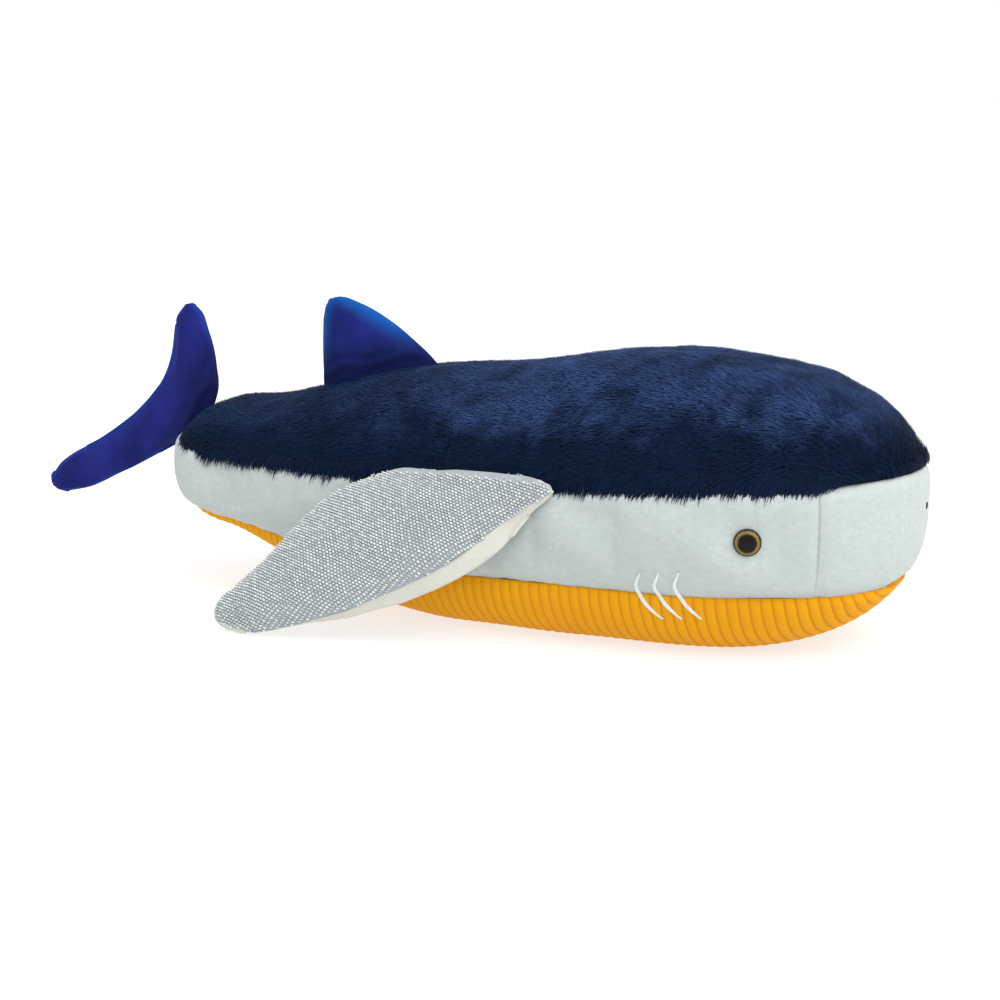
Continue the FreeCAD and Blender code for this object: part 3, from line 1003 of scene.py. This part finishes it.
def bellyGrid():
    # where the belly's columns stand along the body, and the length of cloth up to each
    def onBelly(x):
        return bodySize(x)[2] < bellySeam(x)
    ends = [halve(np.array([inner]), np.array([outer]), onBelly, 40)[0][0]
            for outer, inner in ((body["rear"], -100.0), (body["nose"], 300.0))]
    xs = np.linspace(ends[0], ends[1], 4000)
    bottom = bodySize(xs)[2]
    run = np.concatenate([[0], np.cumsum(np.hypot(np.diff(xs), np.diff(bottom)))])
    count = int(run[-1] / ribs["pitch"] * ribs["perRib"])
    at = np.linspace(0, run[-1], count)
    return np.interp(at, run, xs), at


bellyX, bellyRun = bellyGrid()
half, _, bottom, middle = bodySize(bellyX)
seamZ = np.maximum(bellySeam(bellyX), bottom)
seamRise = np.clip((middle - seamZ) / np.maximum(middle - bottom, 1e-6), 0, 1)
square = body["lowerPower"]
seamAngle = np.arcsin(seamRise ** (square / 2))
turn = np.linspace(1, -1, ribs["around"])
angle = -math.pi / 2 + turn[:, None] * (math.pi / 2 - seamAngle)[None]
bellyY = half * np.sign(turn)[:, None] * np.abs(np.cos(angle)) ** (2 / square)
bellyZ = middle - (middle - bottom) * np.abs(np.sin(angle)) ** (2 / square)
belly = np.stack([np.broadcast_to(bellyX, bellyY.shape), bellyY, bellyZ], -1)
ribWave = np.abs(np.sin(np.pi * bellyRun / ribs["pitch"]))
fromSeam = np.minimum(rowDistance(belly), rowDistance(belly, False))
lift = (seamPinch(fromSeam) + ribs["depth"] * (ribWave - 0.6) * fade(fromSeam, -3, 4)
        + ribs["lumps"] * wander(belly, 50, 8))
belly = belly + gridNormals(belly) * lift[..., None]
belly[..., 2] = np.maximum(belly[..., 2], 0.2)      # it rests on the floor
piece = panelMesh("bellyPanel", belly, panels["thick"],
                  values={"rib": np.broadcast_to(ribWave, bellyY.shape)})
paint(piece, corduroy())
settle(piece, "belly_panel")
skins.append(piece)
print("bellyPanel", len(piece.data.polygons))

# eyes: a glass dome on a stem, one on each side
eyePart = {"x": 292.0, "z": 94.0, "radius": 10.0, "height": 5.0, "lift": 0.6, "dome": 26,
           "foot": [(9.85, 0.8), (9.5, 0.5), (6.0, 0.4), (2.5, 0.4), (2.5, -6.0), (2.5, -14.0),
                    (0.0, -14.0)]}
glass = eyeGlass()
for side, sign in (("Right", -1), ("Left", 1)):
    spot, out = sideSpot(eyePart["x"], eyePart["z"], sign)
    profile = [(eyePart["radius"] * math.sin(t * math.pi / 2), eyePart["lift"] + 0.5
                + (eyePart["height"] - 0.5) * math.cos(t * math.pi / 2) ** 1.15)
               for t in np.linspace(0, 1, eyePart["dome"])]
    rings = [r / eyePart["radius"] for r, _ in profile] + [1.0] * len(eyePart["foot"])
    piece = lathe("eye" + side, profile + eyePart["foot"], spot, out, values={"ring": rings})
    paint(piece, glass)
    settle(piece, "eye_" + side.lower())


def soften(path, reach):
    # running average along a path that keeps its ends
    window = np.ones(2 * reach + 1) / (2 * reach + 1)
    lower = 2 * path[:1] - path[reach:0:-1]
    upper = 2 * path[-1:] - path[-2:-reach - 2:-1]
    padded = np.concatenate([lower, path, upper])
    return np.stack([np.convolve(padded[:, k], window, "valid") for k in range(3)], -1)


# gill stripes: satin stitching across three crescents on each side
gill = {"line": [(31, 228), (40, 219), (47, 213.8), (55, 211), (67.5, 216)], "gap": 14.6,
        "rise": 1.3, "width": 2.3, "thread": 0.8, "step": 0.5}
whiteThread = thread("whiteThread", srgb(232, 235, 233), srgb(200, 207, 209))
bodySkin = clothTree(*skins)
gillLine = smooth(gill["line"])
for side, sign in (("Right", -1), ("Left", 1)):
    spots, across, outs, lengths = [], [], [], []
    for i in range(3):
        z = np.linspace(gill["line"][0][0], gill["line"][-1][0], 300)
        x = gillLine(z) + gill["gap"] * i
        z = z + gill["rise"] * i
        origins = np.stack([x, 0 * x + sign * 300, z], -1)
        hit, out = layOn(bodySkin, origins, [(0, -sign, 0)] * len(x))
        outer = hit[:, 1] * sign > 60       # not what a ray meets past the near side
        hit, out = soften(hit[outer], 30), soften(out[outer], 40)
        run = np.concatenate([[0], np.cumsum(np.linalg.norm(np.diff(hit, axis=0), axis=1))])
        at = np.arange(0.4, run[-1], gill["step"])
        path, lean = (np.stack([np.interp(at, run, line[:, k]) for k in range(3)], -1)
                      for line in (hit, out))
        lean, forward = unit(lean), unit(np.gradient(path, axis=0))
        spots.append(path + lean * 0.5)
        outs.append(lean)
        across.append(unit(np.cross(forward, lean)))
        lengths.append(1.0 + gill["width"] * np.sin(np.pi * at / run[-1]) ** 0.8)
    piece = stitchLine("gillStripes" + side, np.concatenate(spots), np.concatenate(across),
                       np.concatenate(outs), np.concatenate(lengths), gill["thread"], whiteThread)
    settle(piece, "gill_stripes_" + side.lower())

# the small dark stitches at the front of the snout
noseStitch = {"y": 7.0, "z": 107.5, "length": 5.5, "gap": 0.9, "thick": 0.8}
darkThread = thread("darkThread", srgb(40, 42, 46), srgb(12, 13, 15))
origins = [(600, noseStitch["y"] + noseStitch["gap"] * k, noseStitch["z"] + 0.6 * (k % 2))
           for k in (-1, 0, 1)]
spots, outs = layOn(bodySkin, origins, [(-1, 0, 0)] * 3)
piece = stitchLine("noseStitch", spots, [(0, 0.1, 1)] * 3, outs, [noseStitch["length"]] * 3,
                   noseStitch["thick"], darkThread)
settle(piece, "nose_stitch")

# fins

def alongRoot(name, flip=False):
    # a fin's root line: a point on it in millimetres and its direction
    joint = joints[name]
    axis = np.array(joint["axis"], float)
    return np.array(joint["pos_m"], float) / mm, -axis if flip else axis


def padGrids(chords, normal, under, fine, across, lead=None):
    # upper and lower grids of a lens-shaped pad through chords (start, end, half thickness)
    start, end = (np.array([c[i] for c in chords], float) for i in (0, 1))
    thick = np.array([[c[2]] for c in chords], float)
    table = np.stack([start, end, np.repeat(thick, 3, 1)], 1)
    rows = np.linspace(0, len(chords) - 1, fine)
    table = sample(table, rows, np.arange(3.0))
    s = 0.5 - 0.5 * np.cos(np.pi * np.linspace(0, 1, across))
    middle = table[:, None, 0] + (table[:, None, 1] - table[:, None, 0]) * s[None, :, None]
    swell = (4 * s * (1 - s)) ** 0.55
    swell[[0, -1]] = 0
    rise = table[:, 2, :1] * swell[None]
    top = middle + normal * rise[..., None]
    low = middle - normal * (rise * under)[..., None]
    if lead is not None:
        r = np.linspace(0, 1, fine)
        front = s ** 7 * swell
        along = fade(r, 0.06, 0.42) * (1 - fade(r, 0.5, 0.98) ** 1.5)
        low = low + lead * (along[:, None] * (front / front.max())[None])[..., None]
    return top, low


def padFaces(rows, cols):
    # both sides of a pad, and the short strips that close its root and its tip
    count = rows * cols
    top = np.arange(count).reshape(rows, cols)
    low = top + count
    faces = [gridFaces(rows, cols), gridFaces(rows, cols, False, True, count)]
    for row, flip in ((0, False), (rows - 1, True)):
        strip = np.stack([top[row, :-1], low[row, :-1], low[row, 1:], top[row, 1:]], -1)
        faces.append(strip[:, ::-1] if flip else strip)
    pinned = np.concatenate([top[:, 0], top[:, -1], top[0], top[-1], low[0], low[-1]])
    return np.concatenate(faces), pinned


def finPad(name, chords, normal, under, fill, fine=44, across=34, lead=None):
    top, low = padGrids(chords, normal, under, fine, across, lead)
    faces, pinned = padFaces(fine, across)
    return plump(name, [top, low], faces, pinned, fill)


def finSide(grid, rows, cols, outward):
    # a fine grid of one side of a fin with its outward normals
    fine = sample(grid, np.linspace(0, grid.shape[0] - 1, rows), np.linspace(0, grid.shape[1] - 1, cols))
    out = gridNormals(fine)
    if out[rows // 2, cols // 2] @ outward < 0:
        fine = fine[:, ::-1]
        out = gridNormals(fine)
    edge = np.minimum(rowDistance(fine.transpose(1, 0, 2)).T,
                      rowDistance(fine.transpose(1, 0, 2), False).T)
    return fine, out, edge


pectoralFin = {     # rows: distance from the root, both ends along it, half thickness
    "rows": [(-9, 62, 152, 2), (-5, 36, 168, 5), (3, 14, 173, 8), (18, -11, 151, 12.5),
             (38, -29, 129, 15.5), (56, -44, 109, 17), (72, -57, 86, 17), (88, -71, 58, 16.5),
             (104, -86, 26, 14.5), (116, -91, -5, 11.5), (124, -87, -28, 8),
             (128.5, -76, -45, 4.5), (130, -66, -56, 1)],
    "hang": 62.7, "under": 0.75, "lead": 30.0, "grid": 100, "lumps": 1.7,
    "weave": (3.0, 2.15), "weaveTurn": 14.0, "yarn": 2.0,
    "fill": {"pressure": 3.0, "stiff": 14.0, "bend": 0.4, "slack": 0.015, "steps": 16, "smooth": 4,
             "cap": 4.0},
}
finCloth = {"thick": 1.2, "fill": 0.7, "stuffed": 0.42, "fillRows": 30, "fillCols": 24}
groundWeave = speckled("weaveGround", (1400.0, 3.0, 0.6), (0.35, 0.3), srgb(132, 141, 147),
                       srgb(174, 182, 185), (0.5, 0.4), Roughness=0.85, Specular_IOR_Level=0.2)
yarnWeave = weaveYarn()
creamVelour = velour("creamVelour", srgb(204, 204, 194), srgb(188, 188, 180), srgb(240, 238, 228))
fibre = speckled("fibreFill", (260.0, 5.0, 0.7), (0.35, 0.3), srgb(206, 206, 200),
                 srgb(244, 244, 240), (0.7, 2.0), Roughness=0.95)


def finFilling(name, top, low, node, flip):
    # the stuffing inside a fin, a little smaller than its cloth
    middle = (top + low) / 2
    rows = np.linspace(4.5, len(top) - 5.5, finCloth["fillRows"])
    cols = np.linspace(8, top.shape[1] - 9, finCloth["fillCols"])
    parts = [sample(middle + (g - middle) * finCloth["stuffed"], rows, cols) for g in (top, low)]
    core = sample(middle, rows, cols)
    for part in parts:
        part += gridNormals(part) * (0.6 * wander(part, 9, 13))[..., None]
        part[:, 0], part[:, -1] = core[:, 0], core[:, -1]
    faces, _ = padFaces(len(rows), len(cols))
    points = np.concatenate([p.reshape(-1, 3) for p in parts]) * flip
    piece = meshFrom(name, points, faces, weld=0.05)
    paint(piece, fibre)
    settleFin(piece, node)


def yarnNubs(side, panel, origin, along, outward, normal, spec, flip):
    # floats of thick yarn in staggered rows over a fin's upper side
    long, short = spec["weave"]
    i, j = np.meshgrid(np.arange(-90, 110), np.arange(-70, 110), indexing="ij")
    u, v = ((i + 0.5 * (j % 2)) * long).ravel(), (j * short).ravel()
    turn = math.radians(spec["weaveTurn"])
    a = u * math.cos(turn) - v * math.sin(turn)
    b = u * math.sin(turn) + v * math.cos(turn)
    flat = np.stack([a, b, 0 * a], -1)
    a, b = a + 2.0 * wander(flat, 45, 15), b + 2.0 * wander(flat, 45, 16)
    inside = (a > -110) & (a < 185) & (b > -4) & (b < 134)
    a, b = a[inside], b[inside]
    origins = origin + along * a[:, None] + outward * b[:, None] + normal * 90
    spots, outs = layOn(clothTree(panel), origins * flip, [tuple(-normal * flip)] * len(a))
    facing = np.sum(outs * (normal * flip), -1) > 0.4       # none on the rolled edge
    spots, outs = spots[facing], outs[facing]
    way = (along * math.cos(turn) + outward * math.sin(turn)) * flip
    way = unit(way + 0.10 * lumps(spots, 7, (17, 18, 19)))
    length = long * (1.03 + 0.08 * wander(spots, 3, 20))
    piece = stitchLine("pectoralYarn" + side, spots - outs * 0.1, onCloth(way, outs), outs, length,
                       spec["yarn"], yarnWeave, nubPiece, 3)
    settleFin(piece, "pectoral_top_" + side.lower())


def pectoral(side, mirror):
    spec = pectoralFin
    origin, along = alongRoot("right_fin_flap", True)
    hang = math.radians(spec["hang"])
    drop = np.array([0, -math.cos(hang), -math.sin(hang)])
    outward = unit(drop - along * (along @ drop))
    normal = np.cross(outward, along)
    normal = normal if normal[2] > 0 else -normal
    chords = [(origin + outward * o + along * a, origin + outward * o + along * b, t)
              for o, a, b, t in spec["rows"]]
    top, low = finPad("pectoralBag", chords, normal, spec["under"], spec["fill"],
                      lead=along * spec["lead"])
    flip = np.array([1, -1 if mirror else 1, 1])
    key = side.lower()
    start, end = (((origin + along * 80 + outward * o) * flip * mm).tolist() for o in (1, 26))
    finFilling("pectoralFilling" + side, top, low, "pectoral_stuffing_" + key, flip)
    for part, grid, facing, cloth, slotName in (
            ("Top", top, normal, groundWeave, "silver_weave"),
            ("Under", low, -normal, creamVelour, "cream_velour")):
        fine, out, edge = finSide(grid, spec["grid"], spec["grid"], facing)
        lift = spec["lumps"] * wander(fine, 27, 4) + pucker(fine, edge, 12, 0.9)
        fine = (fine + out * (lift * fade(edge, 0, 4))[..., None]) * flip
        fine[..., 2] = np.maximum(fine[..., 2], 0.3)        # no lower than the floor
        if mirror:
            fine = fine[:, ::-1]
        piece = panelMesh("pectoral" + part + side, fine, finCloth["thick"])
        paint(piece, cloth)
        if part == "Top":
            yarnNubs(side, piece, origin, along, outward, normal, spec, flip)
        settleFin(piece, "pectoral_" + part.lower() + "_" + key)
        print(piece.name, len(piece.data.polygons))


dorsalFin = {       # pairs: x and z of the rear and of the front edge, half thickness
    "pairs": [(-112, 160, 1, 184, 6), (-112, 177.3, -15, 199.5, 10), (-112, 192, -31, 212, 12),
              (-112, 204, -46, 222.5, 12), (-111.5, 216, -63, 232, 10.5), (-110.5, 226, -78, 238, 8),
              (-108, 235, -89, 241.4, 5), (-103, 240.4, -97, 242, 1)],
    # dark and rim: reach of the painted shade at the root and of the painted sheen at the rim
    "joint": "dorsal_fin_flop", "hinge": 50, "bend": 18, "creased": 7.0, "dark": 34.0, "rim": 22.0,
    "fill": {"pressure": 3.0, "stiff": 14.0, "bend": 0.4, "slack": 0.02, "steps": 16, "smooth": 4,
             "cap": 3.0},
}
tailFin = {
    "pairs": [(-245, 229.5, -237, 231, 1), (-253, 219, -229, 223, 6.5), (-255.5, 208, -224, 210, 9),
              (-258.5, 191, -219, 191, 11), (-264, 174, -217, 174, 12), (-272.5, 160, -216, 158, 12.5),
              (-287, 145, -224, 137, 12.5), (-299, 134, -242, 117, 12.5), (-312, 124.5, -268, 104, 12),
              (-325, 116, -291, 92, 11.5), (-345, 104, -318, 79, 11), (-363, 95, -344, 67, 10),
              (-378, 85, -368, 60, 8), (-386.5, 76, -383, 59.5, 5), (-391, 70, -390, 64, 1)],
    # dark and rim: reach of the painted shade at the root and of the painted sheen at the rim
    "joint": "tail_fin_sway", "hinge": 22, "bend": 22, "creased": 16.0, "dark": 30.0, "rim": 7.0,
    "fill": {"pressure": 3.0, "stiff": 12.0, "bend": 0.3, "slack": 0.03, "steps": 16, "smooth": 4,
             "cap": 3.0},
}
tailVelvet = velvet("tailVelvet", srgb(30, 36, 116), srgb(20, 24, 88), srgb(24, 60, 150),
                    srgb(50, 90, 220))
dorsalVelvet = velvet("dorsalVelvet", srgb(30, 40, 122), srgb(18, 28, 92), srgb(0, 92, 172),
                      srgb(30, 130, 235))


velvetCloth = {"bag": (60, 30), "grid": (150, 90), "lumps": 0.6, "crease": 0.7, "creasePitch": 2.6}


def velvetFin(name, spec, node, cloth):
    # two velvet sides sewn together over a filling, creased at the root, with painted shade darkening
    # the root and a painted sheen paling the rim
    root, along = alongRoot(spec["joint"])
    away = np.array([-along[2], 0, along[0]])
    middle = root + along * spec["hinge"]
    start, end = (((middle + away * o) * mm).tolist() for o in (-1, spec["bend"]))
    side = np.array([0, -1.0, 0])
    chords = [((a, 0, az), (b, 0, bz), t) for a, az, b, bz, t in spec["pairs"]]
    top, low = finPad(name + "Bag", chords, side, 1.0, spec["fill"], *velvetCloth["bag"])
    finFilling(name + "Filling", top, low, node + "_stuffing", np.ones(3))
    for part, grid, facing in (("Right", top, side), ("Left", low, -side)):
        fine, out, edge = finSide(grid, *velvetCloth["grid"], facing)
        height = (fine - root) @ away
        crease = np.sin(height / velvetCloth["creasePitch"] + 2 * wander(fine, 18, 12))
        crease = crease * np.exp(-((height - 6) / spec["creased"]) ** 2)
        lift = velvetCloth["lumps"] * wander(fine, 24, 6) + pucker(fine, edge, 9, 0.3)
        lift = lift + velvetCloth["crease"] * crease
        fine = fine + out * (lift * fade(edge, 0, 9))[..., None]
        # root marks the painted shade near the body, rim the painted sheen along the edges
        piece = panelMesh(name + part, fine, finCloth["thick"], values={
            "root": 1 - fade(height, 0, spec["dark"]),
            "rim": (1 - fade(edge, 0, spec["rim"])) * fade(height, 4, 40)})
        paint(piece, cloth)
        settleFin(piece, node + "_" + part.lower())
        print(piece.name, len(piece.data.polygons))


print("fins")
for side, mirror in (("Right", False), ("Left", True)):
    pectoral(side, mirror)
velvetFin("dorsal", dorsalFin, "dorsal", dorsalVelvet)
velvetFin("tailFin", tailFin, "tail_fin", tailVelvet)

# whip stitches along the fins' roots
rootStitch = {"step": 5.0, "length": 4.0, "thick": 0.7}
blueThread = thread("blueThread", srgb(18, 28, 78), srgb(8, 14, 44))
paleThread = thread("paleThread", srgb(184, 192, 194), srgb(150, 160, 165))


def whipStitch(name, node, things, start, end, sides, material):
    # short threads over the line where a fin is sewn on, laid on whatever cloth is there
    start, end = np.array(start, float), np.array(end, float)
    count = int(np.linalg.norm(end - start) / rootStitch["step"])
    line = start + (end - start) * ((np.arange(count) + 0.5) / count)[:, None]
    tree, way = clothTree(*things), unit(end - start)
    spots, across, outs = [], [], []
    for side in np.array(sides, float):
        hit, out = layOn(tree, line + side * 60.0, [tuple(-side)] * count)
        spots.append(hit)
        outs.append(out)
        across.append(np.cross(out, way) + way * 0.35)
    spots, across, outs = (np.concatenate(v) for v in (spots, across, outs))
    piece = stitchLine(name, spots, across, outs, [rootStitch["length"]] * len(spots),
                       rootStitch["thick"], material)
    settle(piece, node)


made = bpy.data.objects
for side, sign in (("Right", -1), ("Left", 1)):
    whipStitch("pectoralRoot" + side, "pectoral_root_thread_" + side.lower(),
               (made["pectoralTop" + side], made["sidePanel" + side]),
               (-25, sign * 116.5, 119), (145, sign * 127.5, 123), [(0, sign * 0.7, 0.71)],
               paleThread)
bothSides = [(0, -1, 0), (0, 1, 0)]
whipStitch("dorsalRoot", "dorsal_root_thread", (made["dorsalRight"], made["dorsalLeft"]),
           (-111, 0, 163.5), (-16, 0, 184), bothSides, blueThread)
whipStitch("tailRoot", "tail_root_thread", (made["tailFinRight"], made["tailFinLeft"]),
           (-222, 0, 160), (-246, 0, 118), bothSides, blueThread)

# what is inside
print("filling")
filling = {"inset": 12, "lumps": 2.5, "bottom": 12, "top": -16}
innerRows, innerCols = np.arange(0, len(coarse) - 1, 2.0), np.arange(0, coarseCols, 2.0)
inner = sample(coarse, innerRows, innerCols, True)
inset = filling["inset"] + filling["lumps"] * wander(inner, 20, 11)
inner = inner - gridNormals(inner, True) * inset[..., None]
for row, z in ((0, filling["bottom"]), (-1, filling["top"])):
    spine = sample(coarse[[row]].repeat(2, 0), np.array([0.0]), innerCols, True)[0]
    inner[row] = spine + np.array([0, 0, z])
piece = meshFrom("bodyFilling", inner.reshape(-1, 3), gridFaces(*inner.shape[:2], True), weld=2.0)
paint(piece, fibre)
settle(piece, "body_stuffing")
for node in ("eye_washer_right", "eye_washer_left"):
    paint(frame["nodes"][node], washerPlastic())

# stage

view = {"turn": 25.0, "rise": 11.0, "away": 1.7, "aim": (0.048, 0.0, 0.085), "lens": 76.5}
light = {"key": 2.2, "spread": 60, "from": (0.8, -0.3, 1.0), "around": 1.0, "floor": 0.36, "glow": 0.69}


def camera():
    lens = bpy.data.cameras.new("camera")
    lens.lens, lens.sensor_width = view["lens"], 36.0
    lens.clip_start, lens.clip_end = 0.05, 50.0
    thing = newObject("camera", lens)
    a, e = math.radians(view["turn"]), math.radians(view["rise"])
    way = Vector((math.sin(a) * math.cos(e), -math.cos(a) * math.cos(e), math.sin(e)))
    thing.location = Vector(view["aim"]) + way * view["away"]
    thing.rotation_euler = way.to_track_quat("Z", "Y").to_euler()
    bpy.context.scene.camera = thing


def studio():
    reach = 40000
    corners = [(-reach, -reach, 0), (reach, -reach, 0), (reach, reach, 0), (-reach, reach, 0)]
    floor = meshFrom("floor", corners, np.array([[0, 1, 2, 3]]))
    paint(floor, Shade("paleFloor").done(
        Base_Color=(*[light["floor"]] * 3, 1), Roughness=0.9, Specular_IOR_Level=0.1,
        Emission_Color=(1, 1, 1, 1), Emission_Strength=light["glow"]))
    world = bpy.data.worlds.new("studio")
    bpy.context.scene.world = world
    world.use_nodes = True
    sky = world.node_tree.nodes["Background"].inputs
    sky[0].default_value, sky[1].default_value = (1, 1, 1, 1), light["around"]
    key = bpy.data.lights.new("keyLight", "SUN")
    key.energy, key.angle = light["key"], math.radians(light["spread"])
    lamp = newObject("keyLight", key)
    lamp.rotation_euler = Vector(light["from"]).to_track_quat("Z", "Y").to_euler()


camera()
studio()
bpy.context.scene.view_settings.view_transform = "Standard"
for shape in (strand, threadPiece, nubPiece):       # only their copies are pieces
    bpy.data.objects.remove(shape)
